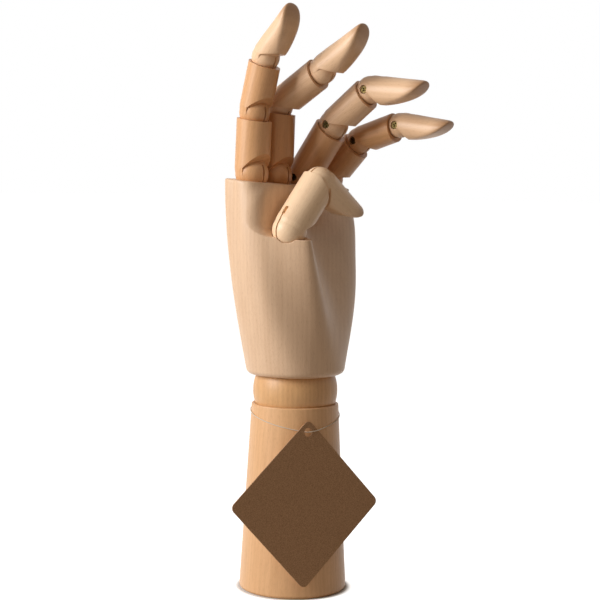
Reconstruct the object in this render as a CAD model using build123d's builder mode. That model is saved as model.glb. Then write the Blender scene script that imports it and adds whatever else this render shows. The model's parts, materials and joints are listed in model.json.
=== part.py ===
from build123d import *
from dataclasses import dataclass
from math import atan2, cos, degrees, exp, pi, radians, sin, sqrt, tan
import os

# A jointed wooden left hand on a turned stand.
# Millimetres, +Z up, origin at the middle of the foot, palm facing -Y, thumb towards -X.
# The hand is held in a relaxed pose, with every bend counted from a straight finger.

# Stand
FOOT_DIAMETER = 55.0
NECK_DIAMETER = 44.4
STAND_HEIGHT = 95.6
FOOT_ROUND = 1.6
NECK_ROUND = 0.7

# Wrist
WRIST_BALL_DIAMETER = 43.2
WRIST_BALL_RISE = 6.7
WRIST_BAND = 15.0
BALL_BORE_DIAMETER = 7.0
BALL_FLARE_DIAMETER = 13.0
BALL_FLARE_DEPTH = 9.0
CUP_GAP = 0.3
RUNNING_FIT = 0.05

# Tension gear inside the stand
CABLE_DIAMETER = 2.4
CABLE_HOLE_DIAMETER = 5.0
SPRING_CHAMBER_DIAMETER = 15.0
SPRING_CHAMBER_DEPTH = 34.0
PLUG_THICKNESS = 3.0
SPRING_WIRE = 1.6
SPRING_DIAMETER = 12.4
SPRING_TURNS = 5
SPRING_END_GAP = 0.3
WASHER_DIAMETER = 13.5
WASHER_THICKNESS = 1.5
CABLE_STOP_DIAMETER = 6.0
CABLE_STOP_LENGTH = 7.0
CABLE_STOP_RISE = 0.5
FERRULE_DIAMETER = 7.0
FERRULE_LENGTH = 12.0
FERRULE_RISE = 4.0
CABLE_TUCK = 2.0

# Knuckle row and thumb seat
KNUCKLE_PITCH = 19.0
KNUCKLE_ROW_X = 5.3
KNUCKLE_ROW_Y = 10.4
KNUCKLE_RISE = 3.75
KNUCKLE_SLOPE = 2.2
KNUCKLE_TILT = 5.5
THUMB_SEAT_X = -20.1
THUMB_SEAT_Y = -12.5
THUMB_SEAT_FALL = 26.45
THUMB_SEAT_LEAN = 5.7

# Palm block
PALM_HEIGHT = 96.75
HEEL_DIAMETER = 49.6
HEEL_ROUND = 3.4
INDEX_MARGIN = 12.2
LITTLE_MARGIN = 10.5
SIDE_SWELL_RISE = 76.0
PALM_FRONT = 1.4
PALM_BACK = 22.3
BACK_SWELL_RISE = 50.0
HEEL_SQUARENESS = 2.0
TOP_SQUARENESS = 5.0
TOP_ROUND = 0.9
SLICE_RISES = (0.0, 20.0, 45.0)
SLICE_STEPS = 10
TOP_ROUND_ANGLES = (0, 30, 60, 90)

# Thumb mound
MOUND_HEIGHT = 21.5
MOUND_SWELL = 1.3
MOUND_FOOT_WIDTH = 15.0
MOUND_SEAT_WIDTH = 10.5
RECESS_COVE = 7.0
RECESS_PROUD = 0.2
RECESS_EASE = 1.0
RECESS_OVERCUT = 0.5
THUMB_ROOM = 0.4

# Finger joints
SEAT_DROP = 3.6
DOME_INSET = 0.4
SHOULDER_RISE = 2.4
RIM_TILT = 7.0
THUMB_RIM_TILT = 30.0
NOTCH_APEX_SIDE = 1.4
NOTCH_APEX_RISE = 2.5
NOTCH_ANGLE = 45.0
THUMB_NOTCH_ANGLE = 54.0
NOTCH_STEP = 0.15
NOTCH_FLOOR = -1.2

# Joint hardware
TONGUE_THICKNESS = 0.7
TONGUE_WIDTH = 8.0
TONGUE_TAIL = 15.0
TONGUE_CLEARANCE = 0.12
SHANK_DIAMETER = 6.0
SHANK_LENGTH = 11.0
SHANK_GAP = 0.12
KERF_HEADROOM = 0.5
KERF_POCKET_WIDTH = 2.2
KERF_POCKET_LENGTH = 4.4
KERF_POCKET_DEPTH = 3.0
SCREW_DIAMETER = 2.0
SCREW_FIT = 0.02
SCREW_HEAD_DIAMETER = 4.0
SCREW_HEAD_HEIGHT = 1.1
SCREW_HEAD_CLEARANCE = 0.15
SCREW_SINK = 2.2
SCREW_END_WALL = 2.0

# Fingertips
PAD_OVERRUN = 0.65
TIP_EDGE = 0.9
THUMB_TIP_EDGE = 5.0
TIP_TAPER = 0.5
TIP_ROUND = 0.8

# Hang tag
TAG_SIDE = 60.0
TAG_THICKNESS = 0.5
TAG_CORNER = 3.0
TAG_HOLE_DIAMETER = 4.4
TAG_HOLE_INSET = 6.4
TAG_RISE = 48.2
TAG_SHIFT = -7.3
TAG_SWAY = 2.7
TAG_AZIMUTH = -18.5
TAG_GAP = 0.35
THREAD_DIAMETER = 0.45
THREAD_TILT = 7.0
THREAD_GAP = 0.12

# Wooden lengths of the fingers and the thumb, from hinge to hinge or to the tip's end
INDEX_PROXIMAL = 30.2
INDEX_MIDDLE = 27.9
INDEX_TIP = 29.7
MIDDLE_PROXIMAL = 35.1
MIDDLE_MIDDLE = 32.3
MIDDLE_TIP = 32.0
RING_PROXIMAL = 33.0
RING_MIDDLE = 28.0
RING_TIP = 32.2
LITTLE_PROXIMAL = 27.7
LITTLE_MIDDLE = 26.2
LITTLE_TIP = 29.8
THUMB_PROXIMAL = 29.2
THUMB_TIP = 31.0
PROXIMAL_RADIUS = 8.8
MIDDLE_RADIUS = 8.1
TIP_RADIUS = 7.5
LITTLE_PROXIMAL_RADIUS = 8.0
LITTLE_MIDDLE_RADIUS = 7.4
LITTLE_TIP_RADIUS = 6.8
THUMB_PROXIMAL_RADIUS = 9.1
THUMB_TIP_RADIUS = 8.1


@dataclass
class Digit:
    """One finger or the thumb: sizes from the knuckle outwards, and its pose."""

    name: str
    lengths: tuple
    radii: tuple
    bends: tuple
    turn: float
    set_back: float
    screw_side: int
    rim_tilt: float = RIM_TILT
    notch_angle: float = NOTCH_ANGLE
    tip_edge: float = TIP_EDGE


FINGER_RADII = (PROXIMAL_RADIUS, MIDDLE_RADIUS, TIP_RADIUS)
LITTLE_RADII = (LITTLE_PROXIMAL_RADIUS, LITTLE_MIDDLE_RADIUS, LITTLE_TIP_RADIUS)
INDEX = Digit(
    "index", (INDEX_PROXIMAL, INDEX_MIDDLE, INDEX_TIP), FINGER_RADII, (2.5, 12.4, 29.4), 0.0, 0.0, 1
)
MIDDLE = Digit(
    "middle", (MIDDLE_PROXIMAL, MIDDLE_MIDDLE, MIDDLE_TIP), FINGER_RADII, (1.6, 56.5, 0.5), 5.2, 1.3, 1
)
RING = Digit(
    "ring", (RING_PROXIMAL, RING_MIDDLE, RING_TIP), FINGER_RADII, (35.8, 16.6, 42.9), 5.9, 0.3, -1
)
LITTLE = Digit(
    "little", (LITTLE_PROXIMAL, LITTLE_MIDDLE, LITTLE_TIP), LITTLE_RADII, (44.0, 28.9, 24.9), 5.0, -1.6, -1
)
THUMB = Digit(
    "thumb",
    (THUMB_PROXIMAL, THUMB_TIP),
    (THUMB_PROXIMAL_RADIUS, THUMB_TIP_RADIUS),
    (34.0, 92.0),
    82.5,
    0.0,
    1,
    THUMB_RIM_TILT,
    THUMB_NOTCH_ANGLE,
    THUMB_TIP_EDGE,
)
FINGERS = (INDEX, MIDDLE, RING, LITTLE)
LENGTH_NAMES = {3: ("proximal", "middle", "tip"), 2: ("proximal", "tip")}

# Heights and places that follow from the sizes above
WRIST_HEIGHT = STAND_HEIGHT + WRIST_BALL_RISE
PALM_FOOT = STAND_HEIGHT + WRIST_BAND
PALM_TOP = PALM_FOOT + PALM_HEIGHT
WRIST_CUP_RADIUS = WRIST_BALL_DIAMETER / 2 + CUP_GAP
FERRULE_FOOT = WRIST_HEIGHT + WRIST_CUP_RADIUS + FERRULE_RISE
FERRULE_TOP = FERRULE_FOOT + FERRULE_LENGTH
CABLE_STOP_HEIGHT = PLUG_THICKNESS + CABLE_STOP_RISE
WASHER_FOOT = CABLE_STOP_HEIGHT + CABLE_STOP_LENGTH
SPRING_FOOT = WASHER_FOOT + WASHER_THICKNESS
KERF_WIDTH = TONGUE_THICKNESS + 2 * TONGUE_CLEARANCE
KERF_TOP = TONGUE_WIDTH / 2 + KERF_HEADROOM
THUMB_SEAT_HEIGHT = PALM_TOP - THUMB_SEAT_FALL
KNUCKLE_ROW_HALF = (len(FINGERS) - 1) / 2 * KNUCKLE_PITCH
INDEX_SIDE = KNUCKLE_ROW_HALF - KNUCKLE_ROW_X + INDEX_MARGIN
LITTLE_SIDE = KNUCKLE_ROW_HALF + KNUCKLE_ROW_X + LITTLE_MARGIN
RECESS_CORNER = RECESS_COVE + RECESS_EASE


def carried(plane, place):
    """Plane of a straight upright piece, carried to where the piece stands."""
    return Plane(place * plane.location)


def dome_radius(radius):
    """Radius of the round lower end of a finger length."""
    return radius - DOME_INSET


def knuckle_place(digit):
    """Seat of a digit in the palm: its hinge centre, with Z along the straight finger."""
    if digit is THUMB:
        seat = Pos(THUMB_SEAT_X, THUMB_SEAT_Y, THUMB_SEAT_HEIGHT) * Rot(X=THUMB_SEAT_LEAN)
        return seat * Pos(0, 0, SEAT_DROP) * Rot(Z=digit.turn)
    step = FINGERS.index(digit) * KNUCKLE_PITCH - KNUCKLE_ROW_HALF
    height = PALM_TOP + KNUCKLE_RISE - step * tan(radians(KNUCKLE_SLOPE))
    return Pos(KNUCKLE_ROW_X + step, KNUCKLE_ROW_Y + digit.set_back, height) * Rot(Z=digit.turn)


def joint_places(digit):
    """Hinge frames of a digit: each before its bend, and after it."""
    frames = []
    here = knuckle_place(digit)
    for length, bend in zip(digit.lengths, digit.bends):
        bent = here * Rot(X=bend)
        frames.append((here, bent))
        here = bent * Pos(0, 0, length)
    return frames


def make_stand():
    """Turned stand with a dished top, a cable hole and a spring chamber below."""
    with BuildPart() as stand:
        with BuildSketch(Plane.XZ):
            with BuildLine():
                Polyline(
                    (0, 0),
                    (FOOT_DIAMETER / 2, 0),
                    (NECK_DIAMETER / 2, STAND_HEIGHT),
                    (0, STAND_HEIGHT),
                    close=True,
                )
            make_face()
        revolve(axis=Axis.Z)
        fillet(stand.edges().group_by(Axis.Z)[0], FOOT_ROUND)
        fillet(stand.edges().group_by(Axis.Z)[-1], NECK_ROUND)
        with Locations((0, 0, WRIST_HEIGHT)):
            Sphere(WRIST_CUP_RADIUS, mode=Mode.SUBTRACT)
        Cylinder(
            SPRING_CHAMBER_DIAMETER / 2,
            SPRING_CHAMBER_DEPTH,
            align=(Align.CENTER, Align.CENTER, Align.MIN),
            mode=Mode.SUBTRACT,
        )
        Cylinder(
            CABLE_HOLE_DIAMETER / 2,
            WRIST_HEIGHT,
            align=(Align.CENTER, Align.CENTER, Align.MIN),
            mode=Mode.SUBTRACT,
        )
    return stand.part


def make_wrist_ball():
    """Wooden ball with a cable bore that flares at both ends."""
    with BuildPart() as ball:
        with Locations((0, 0, WRIST_HEIGHT)):
            Sphere(WRIST_BALL_DIAMETER / 2)
            Cylinder(BALL_BORE_DIAMETER / 2, WRIST_BALL_DIAMETER, mode=Mode.SUBTRACT)
        for turn in (0, 180):
            with Locations(Pos(0, 0, WRIST_HEIGHT) * Rot(X=turn) * Pos(0, 0, WRIST_BALL_DIAMETER / 2)):
                Cone(
                    BALL_BORE_DIAMETER / 2,
                    BALL_FLARE_DIAMETER / 2,
                    BALL_FLARE_DEPTH,
                    align=(Align.CENTER, Align.CENTER, Align.MAX),
                    mode=Mode.SUBTRACT,
                )
    return ball.part


def make_cable():
    """Steel cable from the stop under the spring to the ferrule in the palm."""
    with BuildPart() as cable:
        with BuildSketch(Plane.XY.offset(CABLE_STOP_HEIGHT + CABLE_TUCK)):
            Circle(CABLE_DIAMETER / 2)
        extrude(amount=FERRULE_TOP - CABLE_STOP_HEIGHT - 2 * CABLE_TUCK)
    return cable.part


def make_cable_sleeve(foot, diameter, length, blind_end):
    """Crimped sleeve with a blind bore for the cable; blind_end is 1 at the top, -1 below."""
    with BuildPart() as sleeve:
        with BuildSketch(Plane.XY.offset(foot)):
            Circle(diameter / 2)
        extrude(amount=length)
        bore_foot = foot if blind_end > 0 else foot + CABLE_TUCK
        with BuildSketch(Plane.XY.offset(bore_foot)):
            Circle(CABLE_DIAMETER / 2 + RUNNING_FIT)
        extrude(amount=length - CABLE_TUCK, mode=Mode.SUBTRACT)
    return sleeve.part


def make_plug():
    """Plug that closes the spring chamber, flush with the foot."""
    with BuildPart() as plug:
        with BuildSketch(Plane.XY):
            Circle(SPRING_CHAMBER_DIAMETER / 2)
        extrude(amount=PLUG_THICKNESS)
    return plug.part


def make_washer():
    """Flat washer between the spring and the cable stop."""
    with BuildPart() as washer:
        with BuildSketch(Plane.XY.offset(WASHER_FOOT)):
            Circle(WASHER_DIAMETER / 2)
            Circle(CABLE_DIAMETER / 2 + RUNNING_FIT, mode=Mode.SUBTRACT)
        extrude(amount=WASHER_THICKNESS)
    return washer.part


def helix_point(angle, radius, foot, rise_per_turn):
    """Point of a helix about Z, with its unit tangent."""
    spoke = Vector(1, 0, 0).rotate(Axis.Z, angle)
    point = spoke * radius + Vector(0, 0, foot + rise_per_turn * angle / 360)
    tangent = Vector(0, 1, 0).rotate(Axis.Z, angle) * radius + Vector(0, 0, rise_per_turn / (2 * pi))
    return point, tangent.normalized()


def make_spring():
    """Compression spring between the washer and the roof of its chamber, wound on biarcs."""
    radius = (SPRING_DIAMETER - SPRING_WIRE) / 2
    foot = SPRING_FOOT + SPRING_WIRE / 2 + SPRING_END_GAP
    top = SPRING_CHAMBER_DEPTH - SPRING_WIRE / 2 - SPRING_END_GAP
    rise = (top - foot) / SPRING_TURNS
    with BuildPart() as spring:
        with BuildLine() as path:
            for half_turn in range(2 * SPRING_TURNS):
                start, leave = helix_point(180 * half_turn, radius, foot, rise)
                end, arrive = helix_point(180 * (half_turn + 1), radius, foot, rise)
                span = end - start
                both = leave + arrive
                lean = span.dot(both)
                spread = 4 - both.dot(both)
                reach = (sqrt(lean**2 + spread * span.dot(span)) - lean) / spread
                near = start + leave * reach
                far = end - arrive * reach
                middle = (near + far) * 0.5
                TangentArc(start, middle, tangent=leave)
                TangentArc(middle, end, tangent=far - near)
        with BuildSketch(Plane(origin=path.line @ 0, z_dir=path.line % 0)):
            Circle(SPRING_WIRE / 2)
        sweep()
    count = 40 * SPRING_TURNS
    points = [path.line @ (step / count) for step in range(count + 1)]
    apart = [(b - a).length for i, a in enumerate(points) for b in points[i + 20 :]]
    print("wrist_spring least gap to itself: %.2f mm" % (min(apart) - SPRING_WIRE))
    return spring.part


def swelled(heel, top, share):
    """Size that grows from the heel and levels off where the share reaches one."""
    return heel + (top - heel) * sin(pi / 2 * min(share, 1))


def palm_front(rise):
    """Distance of the palm's front from the wrist's axis, at a height above the heel."""
    heel = HEEL_DIAMETER / 2
    return heel + (PALM_FRONT - heel) * rise / PALM_HEIGHT


def palm_outline(rise, mound_height, inset=0):
    """Points round the palm at one height: a superellipse with the thumb's mound on its front."""
    heel = HEEL_DIAMETER / 2
    index_side = swelled(heel, INDEX_SIDE, rise / SIDE_SWELL_RISE) - inset
    little_side = swelled(heel, LITTLE_SIDE, rise / SIDE_SWELL_RISE) - inset
    front = palm_front(rise) - inset
    back = swelled(heel, PALM_BACK, rise / BACK_SWELL_RISE) - inset
    power = HEEL_SQUARENESS + (TOP_SQUARENESS - HEEL_SQUARENESS) * rise / PALM_HEIGHT
    growth = rise / (PALM_HEIGHT - THUMB_SEAT_FALL)
    width = MOUND_FOOT_WIDTH + (MOUND_SEAT_WIDTH - MOUND_FOOT_WIDTH) * growth
    points = []
    for step in range(4 * SLICE_STEPS):
        turn = pi / 2 * (step / SLICE_STEPS - 1)
        across = sin(turn)
        x = (little_side - index_side + (little_side + index_side) * across) / 2
        depth = (front + back) / 2 * (1 - abs(across) ** power) ** (1 / power)
        if step <= 2 * SLICE_STEPS:
            bulge = mound_height * exp(-(((x - THUMB_SEAT_X * growth) / width) ** 2))
            depth = -depth - bulge * growth**MOUND_SWELL * sqrt(1 - across**2)
        points.append((x, (back - front) / 2 + depth))
    return points


def palm_slice(plane, points):
    """Section of the palm for its loft, as one closed curve."""
    with BuildSketch(plane) as section:
        with BuildLine():
            Spline(*points, periodic=True)
        make_face()
    return section.sketch


def top_edge(angle):
    """Section of the palm at its knuckle end, partway round the eased edge."""
    inset = TOP_ROUND * (1 - cos(radians(angle)))
    rise = TOP_ROUND * (sin(radians(angle)) - 1)
    top = Plane(Pos(KNUCKLE_ROW_X, KNUCKLE_ROW_Y, PALM_TOP) * Rot(X=KNUCKLE_TILT, Y=KNUCKLE_SLOPE))
    outline = palm_outline(PALM_HEIGHT, 0, inset)
    return palm_slice(top.offset(rise), [(x - KNUCKLE_ROW_X, y - KNUCKLE_ROW_Y) for x, y in outline])


def make_thumb_room():
    """Hollow behind the thumb: a wall with a round corner at each end and a coved floor."""
    wall = THUMB_SEAT_Y + THUMB.radii[0] + THUMB_ROOM
    floor = THUMB_SEAT_HEIGHT + (wall - RECESS_COVE - THUMB_SEAT_Y) * tan(radians(THUMB_SEAT_LEAN))
    side = -INDEX_SIDE - RECESS_OVERCUT
    turn = THUMB_SEAT_X + THUMB.radii[0]
    front = -2 * MOUND_HEIGHT
    with BuildPart() as room:
        with BuildSketch(Plane.XY.offset(floor)):
            with BuildLine():
                CenterArc((side + RECESS_CORNER, wall + RECESS_CORNER), RECESS_CORNER, 180, 90)
                Line((side + RECESS_CORNER, wall), (turn, wall))
                CenterArc((turn, wall - RECESS_CORNER), RECESS_CORNER, 0, 90)
                Polyline(
                    (turn + RECESS_CORNER, wall - RECESS_CORNER),
                    (turn + RECESS_CORNER, front),
                    (side - RECESS_CORNER, front),
                    (side - RECESS_CORNER, wall + RECESS_CORNER),
                    (side, wall + RECESS_CORNER),
                )
            make_face()
        extrude(amount=THUMB_SEAT_FALL)
        fillet(room.edges().group_by(Axis.Z)[0].sort_by(Axis.Y)[-4:-1], RECESS_COVE)
    return room.part


def make_palm():
    """Carved palm: one smooth body from round heel to flat knuckles, with the thumb's recess."""
    seat_rise = PALM_HEIGHT - THUMB_SEAT_FALL
    top_rise = PALM_HEIGHT + LITTLE_SIDE * tan(radians(KNUCKLE_SLOPE + KNUCKLE_TILT))
    ledge_slope = tan(radians(THUMB_SEAT_LEAN))
    wall_foot = -palm_front(seat_rise) - RECESS_PROUD
    wall_top = -palm_front(top_rise) - RECESS_PROUD
    corner = (wall_foot, THUMB_SEAT_HEIGHT + (wall_foot - THUMB_SEAT_Y) * ledge_slope)
    ledge_end = (-2 * MOUND_HEIGHT, THUMB_SEAT_HEIGHT - (2 * MOUND_HEIGHT + THUMB_SEAT_Y) * ledge_slope)
    edge = [top_edge(angle) for angle in TOP_ROUND_ANGLES]
    body = []
    for rise in SLICE_RISES + (seat_rise,):
        body.append(palm_slice(Plane.XY.offset(PALM_FOOT + rise), palm_outline(rise, MOUND_HEIGHT)))
    with BuildPart() as palm:
        loft(body + edge[:1])
        fillet(palm.faces().sort_by(Axis.Z)[0].edges(), HEEL_ROUND)
        loft(edge)
        with BuildSketch(Plane.YZ) as recess:
            with BuildLine():
                Polyline(
                    ledge_end,
                    corner,
                    (wall_top, PALM_FOOT + top_rise),
                    (ledge_end[0], PALM_FOOT + top_rise),
                    close=True,
                )
            make_face()
            fillet(recess.vertices().sort_by_distance(corner)[0], RECESS_COVE)
        extrude(amount=INDEX_SIDE + LITTLE_SIDE, both=True, mode=Mode.SUBTRACT)
        add(make_thumb_room(), mode=Mode.SUBTRACT)
        for digit in FINGERS + (THUMB,):
            seat = knuckle_place(digit)
            with Locations(seat):
                Sphere(dome_radius(digit.radii[0]) + CUP_GAP, mode=Mode.SUBTRACT)
        for digit in FINGERS:
            with Locations(knuckle_place(digit) * Pos(0, 0, -TONGUE_TAIL / 2)):
                Box(TONGUE_THICKNESS, TONGUE_WIDTH, TONGUE_TAIL, mode=Mode.SUBTRACT)
        with Locations(knuckle_place(THUMB)):
            Cylinder(
                SHANK_DIAMETER / 2 + RUNNING_FIT,
                dome_radius(THUMB.radii[0]) + SHANK_LENGTH + 2 * SHANK_GAP,
                align=(Align.CENTER, Align.CENTER, Align.MAX),
                mode=Mode.SUBTRACT,
            )
        with Locations((0, 0, WRIST_HEIGHT)):
            Sphere(WRIST_CUP_RADIUS, mode=Mode.SUBTRACT)
            Cylinder(
                FERRULE_DIAMETER / 2,
                FERRULE_TOP - WRIST_HEIGHT,
                align=(Align.CENTER, Align.CENTER, Align.MIN),
                mode=Mode.SUBTRACT,
            )
    return palm.part


def make_notch(place, radius, angle):
    """Wedge on the palm side of a joint, from its roof down to the round end it leaves whole."""
    reach = 2 * radius
    roof_end = NOTCH_APEX_RISE + (reach - NOTCH_APEX_SIDE) * tan(radians(angle))
    outline = Polyline(
        (-NOTCH_APEX_SIDE, NOTCH_APEX_RISE),
        (-reach, roof_end),
        (-reach, NOTCH_FLOOR),
        (-NOTCH_APEX_SIDE, NOTCH_FLOOR),
        close=True,
    )
    wedge = extrude(carried(Plane.YZ, place) * make_face(outline), amount=reach, both=True)
    return wedge - place * Sphere(dome_radius(radius) - NOTCH_STEP)


def cut_joint_end(place, radius, screw_side):
    """Kerf, kerf pocket and screw hole in the round lower end of a finger length."""
    with Locations(place * Pos(0, 0, KERF_TOP - radius)):
        Box(KERF_WIDTH, 3 * radius, 2 * radius, mode=Mode.SUBTRACT)
    pocket = Pos(0, radius - KERF_POCKET_DEPTH / 2, KERF_TOP + KERF_POCKET_LENGTH / 2 - KERF_HEADROOM)
    with Locations(place * pocket):
        Box(KERF_POCKET_WIDTH, KERF_POCKET_DEPTH, KERF_POCKET_LENGTH, mode=Mode.SUBTRACT)
    outside = radius + DOME_INSET
    floor = dome_radius(radius) - SCREW_SINK
    with Locations(place * Rot(Y=90 * screw_side) * Pos(0, 0, outside)):
        CounterBoreHole(
            SCREW_DIAMETER / 2 + SCREW_FIT,
            SCREW_HEAD_DIAMETER / 2 + SCREW_HEAD_CLEARANCE,
            outside - floor,
            outside + dome_radius(radius) - SCREW_END_WALL,
        )


def make_length(place, digit, number):
    """Turned finger length: domed and notched below, with a tilted rim and a cup above."""
    radius = digit.radii[number]
    length = digit.lengths[number]
    notch = make_notch(place, radius, digit.notch_angle)
    dome = dome_radius(radius)
    rim = Plane(place * Pos(0, 0, length - SEAT_DROP) * Rot(X=digit.rim_tilt))
    with BuildPart() as piece:
        with BuildSketch(carried(Plane.XZ, place)):
            with BuildLine():
                CenterArc((0, 0), dome, -90, 90)
                Polyline((dome, 0), (radius, SHOULDER_RISE), (radius, length), (0, length), (0, -dome))
            make_face()
        revolve(axis=Axis(place.position, Plane(place).z_dir))
        split(bisect_by=rim, keep=Keep.BOTTOM)
        add(notch, mode=Mode.SUBTRACT)
        cut_joint_end(place, radius, digit.screw_side)
        with Locations(place * Pos(0, 0, length)):
            Sphere(dome_radius(digit.radii[number + 1]) + CUP_GAP, mode=Mode.SUBTRACT)
        with Locations(place * Pos(0, 0, length - TONGUE_TAIL / 2)):
            Box(TONGUE_THICKNESS, TONGUE_WIDTH, TONGUE_TAIL, mode=Mode.SUBTRACT)
    return piece.part


def make_tip(place, digit):
    """Fingertip: straight along the back, with a curved pad cut across the palm side."""
    radius = digit.radii[-1]
    length = digit.lengths[-1]
    notch = make_notch(place, radius, digit.notch_angle)
    dome = dome_radius(radius)
    end = radius - TIP_TAPER
    reach = length + PAD_OVERRUN
    share = sqrt(1 - (length / reach) ** 2)
    crest = (radius * (1 + share) - digit.tip_edge) / (1 - share)
    with BuildPart() as tip:
        with BuildSketch(carried(Plane.XZ, place)):
            with BuildLine():
                CenterArc((0, 0), dome, -90, 90)
                Polyline((dome, 0), (radius, SHOULDER_RISE), (end, length - TIP_ROUND))
                CenterArc((end - TIP_ROUND, length - TIP_ROUND), TIP_ROUND, 0, 90)
                Polyline((end - TIP_ROUND, length), (0, length), (0, -dome))
            make_face()
        revolve(axis=Axis(place.position, Plane(place).z_dir))
        with BuildSketch(carried(Plane.YZ, place)):
            with BuildLine():
                EllipticalCenterArc((crest, 0), crest + radius, reach, start_angle=90, arc_size=90)
                Polyline(
                    (-radius, 0),
                    (-2 * radius, 0),
                    (-2 * radius, reach + radius),
                    (crest, reach + radius),
                    (crest, reach),
                )
            make_face()
        extrude(amount=2 * radius, both=True, mode=Mode.SUBTRACT)
        add(notch, mode=Mode.SUBTRACT)
        cut_joint_end(place, radius, digit.screw_side)
    return tip.part


def make_tongue(place):
    """Flat steel tongue: round end on the hinge's axis, tail fixed in the piece below."""
    with BuildPart() as tongue:
        with BuildSketch(carried(Plane.YZ, place)):
            Circle(TONGUE_WIDTH / 2)
            Rectangle(TONGUE_WIDTH, TONGUE_TAIL, align=(Align.CENTER, Align.MAX))
            Circle(SCREW_DIAMETER / 2 + RUNNING_FIT, mode=Mode.SUBTRACT)
        extrude(amount=TONGUE_THICKNESS / 2, both=True)
    return tongue.part


def make_swivel_tongue(place, radius):
    """The thumb's tongue: its plate stands on a round shank that turns in the palm."""
    shank_top = dome_radius(radius) + SHANK_GAP
    plate_drop = sqrt(dome_radius(radius) ** 2 - (TONGUE_WIDTH / 2) ** 2)
    with BuildPart() as tongue:
        with BuildSketch(carried(Plane.YZ, place)):
            Circle(TONGUE_WIDTH / 2)
            Rectangle(TONGUE_WIDTH, plate_drop, align=(Align.CENTER, Align.MAX))
            Rectangle(SHANK_DIAMETER - TONGUE_THICKNESS, shank_top, align=(Align.CENTER, Align.MAX))
            Circle(SCREW_DIAMETER / 2 + RUNNING_FIT, mode=Mode.SUBTRACT)
        extrude(amount=TONGUE_THICKNESS / 2, both=True)
        with Locations(place * Pos(0, 0, -shank_top)):
            Cylinder(SHANK_DIAMETER / 2, SHANK_LENGTH, align=(Align.CENTER, Align.CENTER, Align.MAX))
    return tongue.part


def make_screw(place, radius, screw_side):
    """Hinge screw, with its head on the floor of the sunk hole."""
    floor = dome_radius(radius) - SCREW_SINK
    seat = place * Rot(Y=90 * screw_side) * Pos(0, 0, floor)
    with BuildPart() as screw:
        with Locations(seat):
            Cylinder(
                SCREW_HEAD_DIAMETER / 2,
                SCREW_HEAD_HEIGHT,
                align=(Align.CENTER, Align.CENTER, Align.MIN),
            )
            Cylinder(
                SCREW_DIAMETER / 2,
                floor + dome_radius(radius) - SCREW_END_WALL,
                align=(Align.CENTER, Align.CENTER, Align.MAX),
            )
    return screw.part


def stand_radius(height):
    """Radius of the stand's side at a height."""
    return (FOOT_DIAMETER + (NECK_DIAMETER - FOOT_DIAMETER) * height / STAND_HEIGHT) / 2


def tag_place():
    """Middle of the tag's back: it leans on the stand with one corner up."""
    lean = degrees(atan2(FOOT_DIAMETER - NECK_DIAMETER, 2 * STAND_HEIGHT))
    side = Rot(Z=TAG_AZIMUTH) * Pos(0, -FOOT_DIAMETER / 2, 0) * Rot(X=-lean)
    return side * Pos(TAG_SHIFT, -TAG_GAP, TAG_RISE) * Rot(Y=TAG_SWAY)


def make_tag():
    """Square card hung by a hole in one corner."""
    with BuildPart() as tag:
        with BuildSketch(carried(Plane.XZ, tag_place())):
            RectangleRounded(TAG_SIDE, TAG_SIDE, TAG_CORNER, rotation=45)
            with Locations((0, TAG_SIDE / sqrt(2) - TAG_HOLE_INSET)):
                Circle(TAG_HOLE_DIAMETER / 2, mode=Mode.SUBTRACT)
        extrude(amount=TAG_THICKNESS)
    return tag.part


def make_thread():
    """Loop of thread round the stand, tight behind and pulled down through the tag's hole."""
    hole = tag_place() * Pos(0, -TAG_THICKNESS / 2, TAG_SIDE / sqrt(2) - TAG_HOLE_INSET)
    front = hole.position
    outward = Vector(front.X, front.Y, 0)
    back_height = front.Z + 2 * outward.length * tan(radians(THREAD_TILT))
    back_radius = stand_radius(back_height) + THREAD_DIAMETER / 2 + THREAD_GAP
    back = outward.normalized() * -back_radius + Vector(0, 0, back_height)
    across = front - back
    loop = Plane(origin=(front + back) * 0.5, x_dir=across, z_dir=across.cross(outward.cross(across)))
    with BuildPart() as thread:
        with Locations(loop.location):
            Torus(across.length / 2, THREAD_DIAMETER / 2)
    return thread.part


solids = {
    "forearm_base": make_stand(),
    "wrist_ball": make_wrist_ball(),
    "palm": make_palm(),
    "chamber_plug": make_plug(),
    "tension_cable": make_cable(),
    "palm_ferrule": make_cable_sleeve(FERRULE_FOOT, FERRULE_DIAMETER, FERRULE_LENGTH, 1),
    "cable_stop": make_cable_sleeve(CABLE_STOP_HEIGHT, CABLE_STOP_DIAMETER, CABLE_STOP_LENGTH, -1),
    "spring_washer": make_washer(),
    "wrist_spring": make_spring(),
    "hang_tag": make_tag(),
    "tag_thread": make_thread(),
}

for digit in FINGERS + (THUMB,):
    names = LENGTH_NAMES[len(digit.lengths)]
    for number, (straight, bent) in enumerate(joint_places(digit)):
        name = digit.name + "_" + names[number]
        radius = digit.radii[number]
        if name == digit.name + "_tip":
            solids[name] = make_tip(bent, digit)
        else:
            solids[name] = make_length(bent, digit, number)
        if digit is THUMB and number == 0:
            solids[name + "_tongue"] = make_swivel_tongue(straight, radius)
        else:
            solids[name + "_tongue"] = make_tongue(straight)
        solids[name + "_screw"] = make_screw(bent, radius, digit.screw_side)

os.makedirs("parts", exist_ok=True)
for name, solid in solids.items():
    solid.label = name
    export_step(solid, "parts/" + name + ".step")
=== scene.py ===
"""Looks of a jointed wooden hand on a turned stand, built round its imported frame."""

import json
import logging
import math
from dataclasses import dataclass, field
from enum import Enum
from typing import Callable, Optional

import bpy
from mathutils import Matrix, Vector


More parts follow.
